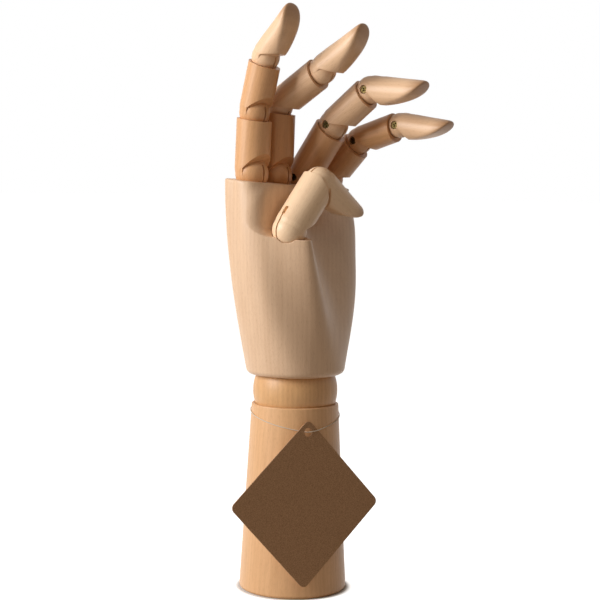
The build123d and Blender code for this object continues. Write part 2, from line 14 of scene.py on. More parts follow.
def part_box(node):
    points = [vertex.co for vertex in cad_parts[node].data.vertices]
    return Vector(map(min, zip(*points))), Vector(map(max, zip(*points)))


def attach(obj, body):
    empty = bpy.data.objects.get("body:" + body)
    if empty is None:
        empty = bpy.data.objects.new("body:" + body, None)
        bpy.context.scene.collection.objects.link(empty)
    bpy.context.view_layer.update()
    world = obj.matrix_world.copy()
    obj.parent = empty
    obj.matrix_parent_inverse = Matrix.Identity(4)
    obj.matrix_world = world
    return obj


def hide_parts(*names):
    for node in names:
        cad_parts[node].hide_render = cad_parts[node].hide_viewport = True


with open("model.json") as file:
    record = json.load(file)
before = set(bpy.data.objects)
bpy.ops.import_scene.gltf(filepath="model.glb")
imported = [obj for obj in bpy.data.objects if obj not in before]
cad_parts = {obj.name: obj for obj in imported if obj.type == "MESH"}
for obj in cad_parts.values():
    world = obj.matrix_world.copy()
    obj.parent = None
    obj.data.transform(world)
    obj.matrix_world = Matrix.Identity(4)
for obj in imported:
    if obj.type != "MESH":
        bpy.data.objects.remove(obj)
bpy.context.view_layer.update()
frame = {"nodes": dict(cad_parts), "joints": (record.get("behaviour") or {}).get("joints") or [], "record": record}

LOG = logging.getLogger("wooden_hand")
MM = 0.001
UP = Vector((0.0, 0.0, 1.0))

# At scale 1, Blender's wave texture repeats after this length.
WAVE_PERIOD = 0.314

Colour = tuple[float, float, float]


class Side(Enum):
    """Where something stands, as the camera sees the hand."""

    LEFT = -1
    RIGHT = 1


class Length(Enum):
    """A wooden length of a digit, from the knuckle outwards."""

    PROXIMAL = "proximal"
    MIDDLE = "middle"
    TIP = "tip"


class NodeSheet:
    """A small helper that lays out one material's or one tree's nodes."""

    def __init__(self, tree: bpy.types.NodeTree) -> None:
        """Starts on an empty sheet.

        Args:
            tree: the node tree to fill; what it holds is cleared.
        """
        self.tree = tree
        self.tree.nodes.clear()

    def add(self, kind: str, **settings: object) -> bpy.types.Node:
        """Adds a node.

        Args:
            kind: the node's type name.
            settings: attributes to set on it.

        Returns:
            The new node.
        """
        node = self.tree.nodes.new(kind)
        for name, value in settings.items():
            setattr(node, name, value)
        return node

    def link(self, source: bpy.types.NodeSocket, target: bpy.types.NodeSocket) -> None:
        """Joins two nodes.

        Args:
            source: an output.
            target: the input that it feeds.
        """
        self.tree.links.new(source, target)


def new_material(name: str) -> tuple[bpy.types.Material, NodeSheet, bpy.types.Node]:
    """Makes a material with one Principled shader.

    Args:
        name: the material's name.

    Returns:
        The material, its node sheet and its shader node.
    """
    material = bpy.data.materials.new(name)
    material.use_nodes = True
    sheet = NodeSheet(material.node_tree)
    shader = sheet.add("ShaderNodeBsdfPrincipled")
    output = sheet.add("ShaderNodeOutputMaterial")
    sheet.link(shader.outputs["BSDF"], output.inputs["Surface"])
    return material, sheet, shader


def dress(node: str, material: bpy.types.Material) -> None:
    """Gives a CAD node one material.

    Args:
        node: the CAD node's name.
        material: its material.
    """
    mesh = frame["nodes"][node].data
    mesh.materials.clear()
    mesh.materials.append(material)
    LOG.info("dressed %s in %s", node, material.name)


def speckle(sheet: NodeSheet, size: float, detail: Optional[float] = None) -> bpy.types.NodeSocket:
    """Makes fine, even noise on a piece.

    Args:
        sheet: the material's sheet.
        size: the noise's size, in millimetres.
        detail: octaves of finer noise; None for the node's own number.

    Returns:
        The noise, from 0 to 1.
    """
    coords = sheet.add("ShaderNodeTexCoord")
    noise = sheet.add("ShaderNodeTexNoise")
    noise.inputs["Scale"].default_value = 1.0 / (size * MM)
    if detail is not None:
        noise.inputs["Detail"].default_value = detail
    sheet.link(coords.outputs["Object"], noise.inputs["Vector"])
    return noise.outputs["Fac"]


def two_tones(
    sheet: NodeSheet,
    pattern: bpy.types.NodeSocket,
    low: tuple[Colour, float],
    high: tuple[Colour, float],
) -> bpy.types.NodeSocket:
    """Turns a pattern into a colour between two tones.

    Args:
        sheet: the material's sheet.
        pattern: the pattern, from 0 to 1.
        low: the tone of the pattern's low values, and where it ends.
        high: the tone of its high values, and where it starts.

    Returns:
        The colour.
    """
    ramp = sheet.add("ShaderNodeValToRGB")
    for element, (tone, position) in zip(ramp.color_ramp.elements, (low, high)):
        element.position = position
        element.color = (*tone, 1.0)
    sheet.link(pattern, ramp.inputs["Fac"])
    return ramp.outputs["Color"]


def darkened(
    sheet: NodeSheet, colour: bpy.types.NodeSocket, tone: Colour, mask: bpy.types.NodeSocket
) -> bpy.types.NodeSocket:
    """Multiplies a colour by a tone where a mask lets it.

    Args:
        sheet: the material's sheet.
        colour: the colour.
        tone: what it is multiplied by.
        mask: how much of that is done, from 0 to 1.

    Returns:
        The darkened colour.
    """
    blend = sheet.add("ShaderNodeMix", data_type="RGBA", blend_type="MULTIPLY")
    blend.inputs["B"].default_value = (*tone, 1.0)
    sheet.link(mask, blend.inputs["Factor"])
    sheet.link(colour, blend.inputs["A"])
    return blend.outputs["Result"]


@dataclass(frozen=True)
class WoodFinish:
    """Pale, close-grained wood, sanded smooth and left without varnish.

    Sizes are in millimetres across or along the grain; shares, limits and tones are plain
    numbers.
    """

    name: str
    pale: Colour
    dark: Colour
    streak_width: float = 0.45
    streak_length: float = 34.0
    streak_detail: float = 3.0
    streak_share: float = 0.45
    band_width: float = 3.4
    band_length: float = 85.0
    band_detail: float = 1.0
    band_share: float = 0.43
    ring_pitch: float = 2.2
    ring_stretch: float = 0.06
    ring_waver: float = 2.2
    ring_detail: float = 2.0
    ring_detail_scale: float = 0.35
    ring_share: float = 0.12
    dark_below: float = 0.3
    pale_above: float = 0.7
    fleck_width: float = 0.3
    fleck_length: float = 2.2
    fleck_detail: float = 0.0
    fleck_from: float = 0.63
    fleck_to: float = 0.7
    fleck_depth: float = 0.14
    fleck_tone: Colour = (0.45, 0.3, 0.2)
    relief: float = 0.1
    relief_strength: float = 0.12
    roughness: float = 0.42
    sheen: float = 0.4
    end_length: float = 10.0
    end_tone: Colour = (0.6, 0.5, 0.41)

    def material(
        self, piece: str, grain: Vector, offset: Vector, end: Optional[Vector] = None
    ) -> bpy.types.Material:
        """Builds the wood of one piece, with its grain turned along that piece.

        Args:
            piece: the piece's name.
            grain: direction of the grain.
            offset: shift of the pattern in metres, so that no two pieces match.
            end: far end of the piece, where end grain shows darker; None where it doesn't show.

        Returns:
            The material.
        """
        material, sheet, shader = new_material(self.name + "_" + piece)
        coords = sheet.add("ShaderNodeTexCoord")
        turn = sheet.add("ShaderNodeMapping")
        turn.inputs["Rotation"].default_value = grain.rotation_difference(UP).to_euler()
        turn.inputs["Location"].default_value = offset
        sheet.link(coords.outputs["Object"], turn.inputs["Vector"])
        along = turn.outputs["Vector"]

        streaks = self._noise(sheet, along, self.streak_width, self.streak_length, self.streak_detail)
        bands = self._noise(sheet, along, self.band_width, self.band_length, self.band_detail)
        flecks = self._noise(sheet, along, self.fleck_width, self.fleck_length, self.fleck_detail)
        rings = self._rings(sheet, along)

        tone = self._weighted(
            sheet, ((streaks, self.streak_share), (bands, self.band_share), (rings, self.ring_share))
        )
        plain = two_tones(sheet, tone, (self.dark, self.dark_below), (self.pale, self.pale_above))

        fleck_mask = sheet.add("ShaderNodeMapRange")
        fleck_mask.inputs["From Min"].default_value = self.fleck_from
        fleck_mask.inputs["From Max"].default_value = self.fleck_to
        fleck_mask.inputs["To Max"].default_value = self.fleck_depth
        sheet.link(flecks, fleck_mask.inputs["Value"])
        colour = darkened(sheet, plain, self.fleck_tone, fleck_mask.outputs["Result"])
        if end is not None:
            colour = self._end_grain(sheet, along, grain.dot(end) + offset.z, colour)
        sheet.link(colour, shader.inputs["Base Color"])

        bump = sheet.add("ShaderNodeBump")
        bump.inputs["Strength"].default_value = self.relief_strength
        bump.inputs["Distance"].default_value = self.relief * MM
        sheet.link(streaks, bump.inputs["Height"])
        sheet.link(bump.outputs["Normal"], shader.inputs["Normal"])
        shader.inputs["Roughness"].default_value = self.roughness
        shader.inputs["Specular IOR Level"].default_value = self.sheen
        return material

    def _end_grain(
        self, sheet: NodeSheet, along: bpy.types.NodeSocket, end: float, colour: bpy.types.NodeSocket
    ) -> bpy.types.NodeSocket:
        """Darkens the wood towards its far end.

        Args:
            sheet: the material's sheet.
            along: coordinates with Z along the grain.
            end: where the far end lies on that Z, in metres.
            colour: the wood's colour so far.

        Returns:
            The colour with the end darkened.
        """
        split = sheet.add("ShaderNodeSeparateXYZ")
        sheet.link(along, split.inputs["Vector"])
        mask = sheet.add("ShaderNodeMapRange", interpolation_type="SMOOTHSTEP")
        mask.inputs["From Min"].default_value = end - self.end_length * MM
        mask.inputs["From Max"].default_value = end
        sheet.link(split.outputs["Z"], mask.inputs["Value"])
        return darkened(sheet, colour, self.end_tone, mask.outputs["Result"])

    @staticmethod
    def _noise(
        sheet: NodeSheet, along: bpy.types.NodeSocket, width: float, length: float, detail: float
    ) -> bpy.types.NodeSocket:
        """Makes noise drawn out along the grain.

        Args:
            sheet: the material's sheet.
            along: coordinates with Z along the grain.
            width: size across the grain, in millimetres.
            length: size along the grain, in millimetres.
            detail: octaves of finer noise.

        Returns:
            The noise, from 0 to 1.
        """
        stretch = sheet.add("ShaderNodeMapping")
        stretch.inputs["Scale"].default_value = (1.0, 1.0, width / length)
        sheet.link(along, stretch.inputs["Vector"])
        noise = sheet.add("ShaderNodeTexNoise")
        noise.inputs["Scale"].default_value = 1.0 / (width * MM)
        noise.inputs["Detail"].default_value = detail
        sheet.link(stretch.outputs["Vector"], noise.inputs["Vector"])
        return noise.outputs["Fac"]

    def _rings(self, sheet: NodeSheet, along: bpy.types.NodeSocket) -> bpy.types.NodeSocket:
        """Makes growth rings about a heart that lies well outside the piece.

        Args:
            sheet: the material's sheet.
            along: coordinates with Z along the grain.

        Returns:
            The rings, from 0 to 1.
        """
        stretch = sheet.add("ShaderNodeMapping")
        stretch.inputs["Scale"].default_value = (1.0, 1.0, self.ring_stretch)
        sheet.link(along, stretch.inputs["Vector"])
        rings = sheet.add("ShaderNodeTexWave", wave_type="RINGS", rings_direction="Z")
        rings.inputs["Scale"].default_value = WAVE_PERIOD / (self.ring_pitch * MM)
        rings.inputs["Distortion"].default_value = self.ring_waver
        rings.inputs["Detail"].default_value = self.ring_detail
        rings.inputs["Detail Scale"].default_value = self.ring_detail_scale
        sheet.link(stretch.outputs["Vector"], rings.inputs["Vector"])
        return rings.outputs["Fac"]

    @staticmethod
    def _weighted(
        sheet: NodeSheet, parts: tuple[tuple[bpy.types.NodeSocket, float], ...]
    ) -> bpy.types.NodeSocket:
        """Adds up patterns by weight.

        Args:
            sheet: the material's sheet.
            parts: pairs of a pattern and its weight.

        Returns:
            The sum.
        """
        total: Optional[bpy.types.NodeSocket] = None
        for socket, weight in parts:
            scaled = sheet.add("ShaderNodeMath", operation="MULTIPLY_ADD")
            scaled.inputs[1].default_value = weight
            sheet.link(socket, scaled.inputs[0])
            if total is None:
                scaled.inputs[2].default_value = 0.0
            else:
                sheet.link(total, scaled.inputs[2])
            total = scaled.outputs["Value"]
        return total


@dataclass(frozen=True)
class MetalFinish:
    """Plain metal with a little wear. The wear's size is in millimetres."""

    name: str
    colour: Colour
    roughness: float
    wear_size: float = 0.8
    wear_spread: float = 0.1

    def material(self) -> bpy.types.Material:
        """Builds the metal.

        Returns:
            The material.
        """
        material, sheet, shader = new_material(self.name)
        spread = sheet.add("ShaderNodeMapRange")
        spread.inputs["To Min"].default_value = self.roughness - self.wear_spread
        spread.inputs["To Max"].default_value = self.roughness + self.wear_spread
        sheet.link(speckle(sheet, self.wear_size), spread.inputs["Value"])
        sheet.link(spread.outputs["Result"], shader.inputs["Roughness"])
        shader.inputs["Base Color"].default_value = (*self.colour, 1.0)
        shader.inputs["Metallic"].default_value = 1.0
        return material


@dataclass(frozen=True)
class CardFinish:
    """Uncoated kraft card with short fibres. The fibres' size is in millimetres."""

    name: str
    colour: Colour
    fibre: Colour
    fibre_size: float = 0.5
    fibre_detail: float = 4.0
    colour_below: float = 0.35
    fibre_above: float = 0.75
    roughness: float = 0.85
    sheen: float = 0.2

    def material(self) -> bpy.types.Material:
        """Builds the card.

        Returns:
            The material.
        """
        material, sheet, shader = new_material(self.name)
        fibres = speckle(sheet, self.fibre_size, self.fibre_detail)
        low = (self.colour, self.colour_below)
        high = (self.fibre, self.fibre_above)
        sheet.link(two_tones(sheet, fibres, low, high), shader.inputs["Base Color"])
        shader.inputs["Roughness"].default_value = self.roughness
        shader.inputs["Specular IOR Level"].default_value = self.sheen
        return material


@dataclass(frozen=True)
class ThreadFinish:
    """Pale sewing thread. The twist's size is in millimetres."""

    name: str
    colour: Colour
    shade: Colour
    twist_size: float = 0.4
    roughness: float = 0.8

    def material(self) -> bpy.types.Material:
        """Builds the thread.

        Returns:
            The material.
        """
        material, sheet, shader = new_material(self.name)
        twist = speckle(sheet, self.twist_size)
        colour = two_tones(sheet, twist, (self.shade, 0.0), (self.colour, 1.0))
        sheet.link(colour, shader.inputs["Base Color"])
        shader.inputs["Roughness"].default_value = self.roughness
        return material


STAND_WOOD = WoodFinish("stand_wood", (0.75, 0.445, 0.225), (0.64, 0.36, 0.17))
BALL_WOOD = WoodFinish("ball_wood", (0.72, 0.42, 0.19), (0.6, 0.33, 0.145))
PALM_WOOD = WoodFinish("palm_wood", (0.77, 0.54, 0.36), (0.68, 0.455, 0.29))
FINGER_WOOD = WoodFinish("finger_wood", (0.74, 0.415, 0.205), (0.62, 0.33, 0.15))
PALE_FINGER_WOOD = WoodFinish("pale_finger_wood", (0.81, 0.54, 0.335), (0.7, 0.44, 0.255))
# Darker copy of the finger wood: painted shade for the middle finger's proximal length, which sits in the index
# finger's shadow.
SHADE_PAINTED_FINGER_WOOD = WoodFinish("shade_painted_finger_wood", (0.6, 0.3, 0.125), (0.5, 0.235, 0.09))
TIP_WOOD = WoodFinish("tip_wood", (0.86, 0.585, 0.375), (0.77, 0.5, 0.3))
THUMB_WOOD = WoodFinish("thumb_wood", (0.94, 0.695, 0.465), (0.86, 0.605, 0.39))
TONGUE_STEEL = MetalFinish("tongue_steel", (0.16, 0.15, 0.14), 0.5)
GEAR_STEEL = MetalFinish("gear_steel", (0.5, 0.5, 0.5), 0.35)
SCREW_BRASS = MetalFinish("screw_brass", (0.1, 0.072, 0.026), 0.4)
KRAFT_CARD = CardFinish("kraft_card", (0.37, 0.215, 0.115), (0.6, 0.36, 0.21))
PALE_THREAD = ThreadFinish("pale_thread", (0.8, 0.7, 0.56), (0.56, 0.49, 0.392))


def joint_of(child: str) -> dict:
    """Finds the joint that carries a body.

    Args:
        child: the body's name.

    Returns:
        The joint's record.
    """
    return next(joint for joint in frame["joints"] if joint["child"] == child)


def middle_of(node: str) -> Vector:
    """Finds the mean of a CAD node's corners.

    Args:
        node: the CAD node's name.

    Returns:
        The mean.
    """
    corners = [vertex.co for vertex in frame["nodes"][node].data.vertices]
    return sum(corners, Vector()) / len(corners)


def applied(blank: bpy.types.Object) -> bpy.types.Mesh:
    """Turns a helper with its modifiers into a plain mesh, and removes the helper.

    Args:
        blank: the helper, not yet in the scene.

    Returns:
        The mesh.
    """
    bpy.context.scene.collection.objects.link(blank)
    mesh = bpy.data.meshes.new_from_object(blank.evaluated_get(bpy.context.evaluated_depsgraph_get()))
    bpy.data.objects.remove(blank)
    return mesh


def add_piece(name: str, mesh: bpy.types.Mesh, body: str, node: str) -> None:
    """Adds a finished piece that stands for a CAD node.

    Args:
        name: the piece's name.
        mesh: its mesh.
        body: the body that it moves with.
        node: the CAD node that it stands for.
    """
    piece = bpy.data.objects.new(name, mesh)
    bpy.context.scene.collection.objects.link(piece)
    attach(piece, body)
    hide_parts(node)
    LOG.info("made %s", name)


@dataclass(frozen=True)
class Taper:
    """The stand's evenly tapered side. Sizes are in metres."""

    foot_height: float
    foot_radius: float
    neck_height: float
    neck_radius: float

    @classmethod
    def of_stand(cls, rim_depth: float = 2.0 * MM) -> "Taper":
        """Measures the stand.

        Args:
            rim_depth: how far below the top the neck is measured.

        Returns:
            Its taper.
        """
        corners = [vertex.co for vertex in frame["nodes"]["forearm_base"].data.vertices]
        foot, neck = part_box("forearm_base")
        widest = max(corner.xy.length for corner in corners)
        rim = max(corner.xy.length for corner in corners if corner.z > neck[2] - rim_depth)
        return cls(foot[2], widest, neck[2], rim)

    def radius(self, height: float) -> float:
        """Works out the radius at a height.

        Args:
            height: the height.

        Returns:
            The radius.
        """
        widening = (self.neck_radius - self.foot_radius) * (height - self.foot_height)
        return self.foot_radius + widening / (self.neck_height - self.foot_height)


@dataclass(frozen=True)
class Sanding:
    """Rounds carved edges in a part of a piece, as sanding does. Sizes are in metres."""

    voxel: float
    passes: int
    strength: float = 0.5
    kept_faces: float = 0.3

    def make(self, node: str, share: Callable[[Vector], float]) -> bpy.types.Mesh:
        """Makes the sanded form of a CAD node, in the node's own material.

        Args:
            node: the CAD node's name.
            share: gives how much is sanded at a point; it is clipped to 0 and 1.

        Returns:
            The sanded mesh.
        """
        source = frame["nodes"][node].data
        blank = bpy.data.objects.new(node + "_blank", source.copy())
        even = blank.modifiers.new("even", "REMESH")
        even.mode = "VOXEL"
        even.voxel_size = self.voxel
        fine = bpy.data.objects.new(node + "_fine", applied(blank))
        group = fine.vertex_groups.new(name="sanded")
        for vertex in fine.data.vertices:
            group.add([vertex.index], min(max(share(vertex.co), 0.0), 1.0), "REPLACE")
        sand = fine.modifiers.new("sand", "SMOOTH")
        sand.vertex_group = group.name
        sand.factor = self.strength
        sand.iterations = self.passes
        fewer = fine.modifiers.new("fewer", "DECIMATE")
        fewer.ratio = self.kept_faces
        mesh = applied(fine)
        mesh.shade_smooth()
        mesh.materials.clear()
        mesh.materials.append(source.materials[0])
        return mesh


@dataclass
class ScrewMaker:
    """Cross-head screws, all from one Geometry Nodes tree.

    Sizes are in metres. The screw's length comes from the frame, and so does the head's
    diameter, of which the share is kept.
    """

    head_share: float = 0.86
    head_height: float = 1.1 * MM
    shank_diameter: float = 2.0 * MM
    recess_length: float = 2.5 * MM
    recess_width: float = 0.6 * MM
    recess_depth: float = 0.7 * MM
    sides: int = 40
    tree: Optional[bpy.types.NodeTree] = field(default=None, init=False)
    sockets: dict[str, str] = field(default_factory=dict, init=False)

    def build_tree(self, material: bpy.types.Material) -> None:
        """Builds the tree: a head with a cross recess on a plain shank, head upwards.

        Args:
            material: the screws' metal.
        """
        tree = bpy.data.node_groups.new("cross_head_screw", "GeometryNodeTree")
        interface = tree.interface
        head_and_shank = ("Head Diameter", "Head Height", "Shank Diameter", "Shank Length")
        recess = ("Recess Length", "Recess Width", "Recess Depth")
        for name in head_and_shank + recess:
            socket = interface.new_socket(name, in_out="INPUT", socket_type="NodeSocketFloat")
            self.sockets[name] = socket.identifier
        interface.new_socket("Geometry", in_out="OUTPUT", socket_type="NodeSocketGeometry")
        sheet = NodeSheet(tree)
        sizes = sheet.add("NodeGroupInput").outputs

        head = self._cylinder(sheet, sizes["Head Diameter"], sizes["Head Height"])
        shank = self._cylinder(sheet, sizes["Shank Diameter"], sizes["Shank Length"])
        sunk = sheet.add("GeometryNodeTransform")
        below = sheet.add("ShaderNodeCombineXYZ")
        sheet.link(self._scaled(sheet, sizes["Head Height"], -1.0), below.inputs["Z"])
        sheet.link(below.outputs["Vector"], sunk.inputs["Translation"])
        sheet.link(shank, sunk.inputs["Geometry"])

        cut = sheet.add("GeometryNodeMeshBoolean", operation="DIFFERENCE", solver="EXACT")
        sheet.link(head, cut.inputs["Mesh 1"])
        for long_axis, short_axis in (("X", "Y"), ("Y", "X")):
            size = sheet.add("ShaderNodeCombineXYZ")
            sheet.link(sizes["Recess Length"], size.inputs[long_axis])
            sheet.link(sizes["Recess Width"], size.inputs[short_axis])
            sheet.link(self._scaled(sheet, sizes["Recess Depth"], 2.0), size.inputs["Z"])
            bar = sheet.add("GeometryNodeMeshCube")
            sheet.link(size.outputs["Vector"], bar.inputs["Size"])
            sheet.link(bar.outputs["Mesh"], cut.inputs["Mesh 2"])

        whole = sheet.add("GeometryNodeJoinGeometry")
        sheet.link(cut.outputs["Mesh"], whole.inputs["Geometry"])
        sheet.link(sunk.outputs["Geometry"], whole.inputs["Geometry"])
        real = sheet.add("GeometryNodeRealizeInstances")
        sheet.link(whole.outputs["Geometry"], real.inputs["Geometry"])
        metal = sheet.add("GeometryNodeSetMaterial")
        metal.inputs["Material"].default_value = material
        sheet.link(real.outputs["Geometry"], metal.inputs["Geometry"])
        output = sheet.add("NodeGroupOutput")
        sheet.link(metal.outputs["Geometry"], output.inputs["Geometry"])
        self.tree = tree

    @staticmethod
    def _scaled(sheet: NodeSheet, value: bpy.types.NodeSocket, factor: float) -> bpy.types.NodeSocket:
        """Multiplies a size by a plain number.

        Args:
            sheet: the tree's sheet.
            value: the size.
            factor: the number.

        Returns:
            The product.
        """
        product = sheet.add("ShaderNodeMath", operation="MULTIPLY")
        product.inputs[1].default_value = factor
        sheet.link(value, product.inputs[0])
        return product.outputs["Value"]

    def _cylinder(
        self, sheet: NodeSheet, diameter: bpy.types.NodeSocket, height: bpy.types.NodeSocket
    ) -> bpy.types.NodeSocket:
        """Lays out a cylinder that hangs down from the origin.

        Args:
            sheet: the tree's sheet.
            diameter: its diameter.
            height: its height.

        Returns:
            The cylinder's mesh.
        """
        cylinder = sheet.add("GeometryNodeMeshCylinder")
        cylinder.inputs["Vertices"].default_value = self.sides
        sheet.link(self._scaled(sheet, diameter, 0.5), cylinder.inputs["Radius"])
        sheet.link(height, cylinder.inputs["Depth"])
        lift = sheet.add("ShaderNodeCombineXYZ")
        sheet.link(self._scaled(sheet, height, -0.5), lift.inputs["Z"])
        place = sheet.add("GeometryNodeTransform")
        sheet.link(lift.outputs["Vector"], place.inputs["Translation"])
        sheet.link(cylinder.outputs["Mesh"], place.inputs["Geometry"])
        return place.outputs["Geometry"]

    def make(self, node: str, body: str, turn: float) -> None:
        """Makes the screw that stands for a CAD node.

        Args:
            node: the CAD node's name.
            body: the body that it moves with.
            turn: angle of the cross, in degrees.
        """
        joint = joint_of(body)
        hinge = Vector(joint["pos_m"])
        axis = Vector(joint["axis"]).normalized()
        spans = [vertex.co - hinge for vertex in frame["nodes"][node].data.vertices]
        reaches = [span.dot(axis) for span in spans]
        low, high = min(reaches), max(reaches)
        head_radius = max((span - axis * reach).length for span, reach in zip(spans, reaches))
        outward = axis if high > -low else -axis
        top = max(high, -low)
        sizes = {
            "Head Diameter": 2 * head_radius * self.head_share,
            "Head Height": self.head_height,
            "Shank Diameter": self.shank_diameter,
            "Shank Length": high - low - self.head_height,
            "Recess Length": self.recess_length,
            "Recess Width": self.recess_width,
            "Recess Depth": self.recess_depth,
        }
        blank = bpy.data.objects.new(node + "_blank", bpy.data.meshes.new(node + "_blank"))
        modifier = blank.modifiers.new("screw", "NODES")
        modifier.node_group = self.tree
        for name, value in sizes.items():
            modifier[self.sockets[name]] = value
        mesh = applied(blank)
        spin = outward.to_track_quat("Z", "Y").to_matrix().to_4x4()
        cross = Matrix.Rotation(math.radians(turn), 4, "Z")
        mesh.transform(Matrix.Translation(hinge + outward * top) @ spin @ cross)
        add_piece("crosshead_" + node, mesh, body, node)


@dataclass
class Stand:
    """The turned stand, with the tension gear inside it."""

    wood: WoodFinish = STAND_WOOD
    gear: tuple[str, ...] = (
        "tension_cable",
        "palm_ferrule",
        "wrist_spring",
        "spring_washer",
        "cable_stop",
    )
    heart: Vector = field(default_factory=lambda: Vector((0.045, 0.03, 0.0)))

    def build(self) -> None:
        """Dresses the stand, its plug and the gear."""
        wood = self.wood.material("forearm", UP, self.heart)
        dress("forearm_base", wood)
        dress("chamber_plug", wood)
        steel = GEAR_STEEL.material()
        for node in self.gear:
            dress(node, steel)


@dataclass
class Wrist:
    """The ball between stand and palm."""

    wood: WoodFinish = BALL_WOOD
    heart: Vector = field(default_factory=lambda: Vector((-0.038, 0.05, 0.011)))

    def build(self) -> None:
        """Dresses the ball."""
        dress("wrist_ball", self.wood.material("ball", UP, self.heart))


@dataclass
class Palm:
    """The carved palm."""

    wood: WoodFinish = PALM_WOOD
    heart: Vector = field(default_factory=lambda: Vector((0.06, -0.07, 0.02)))
    sanding: Sanding = Sanding(voxel=0.4 * MM, passes=160)
    sand_radius: float = 36.0 * MM
    sand_fade: float = 5.0 * MM
    crisp_edge: float = 1.5 * MM

    def build(self) -> None:
        """Dresses the palm, and sands the recess behind the thumb."""
        dress("palm", self.wood.material("palm", UP, self.heart))
        seat = Vector(joint_of("thumb_proximal")["pos_m"])
        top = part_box("palm")[1][2]
        mesh = self.sanding.make("palm", lambda point: self._near_recess(point, seat, top))
        add_piece("sanded_palm", mesh, "palm", "palm")

    def _near_recess(self, point: Vector, seat: Vector, top: float) -> float:
        """Tells how much is sanded at a point: all by the recess, none at seat and knuckles.

        Args:
            point: the point.
            seat: middle of the thumb's seat.
            top: height of the palm's knuckle end.

        Returns:
            The share, 1 or more by the recess and 0 or less away from it.
        """
        room = self.sand_radius - (point - seat).length
        over_seat = point.z - seat.z - self.crisp_edge
        under_top = top - point.z - self.crisp_edge
        return min(room, over_seat, under_top) / self.sand_fade


@dataclass
class Digit:
    """A finger or the thumb, from the knuckle to the tip.

    The sanding's start and full strength are shares of the way from hinge to far end. Heart,
    depths and steps place each length in the grain, in metres, and turn its screw's cross, in
    degrees.
    """

    name: str
    lengths: tuple[Length, ...]
    heart: float
    woods: tuple[WoodFinish, ...]
    sanding: Sanding = Sanding(voxel=0.25 * MM, passes=280)
    sand_start: float = 0.3
    sand_full: float = 0.55
    heart_depth: float = 0.04
    depth_step: float = 0.013
    grain_step: float = 0.1
    cross_turn: float = 23.0
    turn_step: float = 37.0
    turn_by_heart: float = 900.0

    def build(self, screws: ScrewMaker, tongue_steel: bpy.types.Material) -> None:
        """Dresses the wooden lengths and their tongues, and makes their screws.

        Args:
            screws: the maker of the screws.
            tongue_steel: the tongues' metal.
        """
        for number, length in enumerate(self.lengths):
            node = self.name + "_" + length.value
            wood = self.woods[number]
            hinge = Vector(joint_of(node)["pos_m"])
            grain = (middle_of(node) - hinge).normalized()
            depth = self.heart_depth + self.depth_step * number
            offset = Vector((self.heart, depth, self.grain_step * number))
            tip = length is Length.TIP
            end = max((vertex.co for vertex in frame["nodes"][node].data.vertices), key=grain.dot)
            material = wood.material(node, grain, offset, end if tip else None)
            dress(node, material)
            if tip:
                self._sand(node, hinge, grain, (end - hinge).dot(grain))
            dress(node + "_tongue", tongue_steel)
            turn = self.cross_turn + self.turn_step * number + self.turn_by_heart * self.heart
            screws.make(node + "_screw", node, turn)

    def _sand(self, node: str, hinge: Vector, grain: Vector, far: float) -> None:
        """Adds the sanded form of a tip, which keeps its joint and its full length.

        Args:
            node: the tip's CAD node.
            hinge: the hinge that it turns on.
            grain: direction from the hinge to the far end.
            far: distance of the far end from the hinge.
        """
        start = self.sand_start * far
        full = self.sand_full * far

        def beyond_start(point: Vector) -> float:
            """Measures how far a point lies past the start of the sanding.

            Args:
                point: the point.

            Returns:
                The distance along the grain.
            """
            return (point - hinge).dot(grain) - start

        mesh = self.sanding.make(node, lambda point: beyond_start(point) / (full - start))
        worn = max((vertex.co - hinge).dot(grain) for vertex in mesh.vertices)
        for vertex in mesh.vertices:
            beyond = beyond_start(vertex.co)
            if beyond > 0.0:
                vertex.co += grain * beyond * (far - worn) / (worn - start)
        add_piece("sanded_" + node, mesh, node, node)


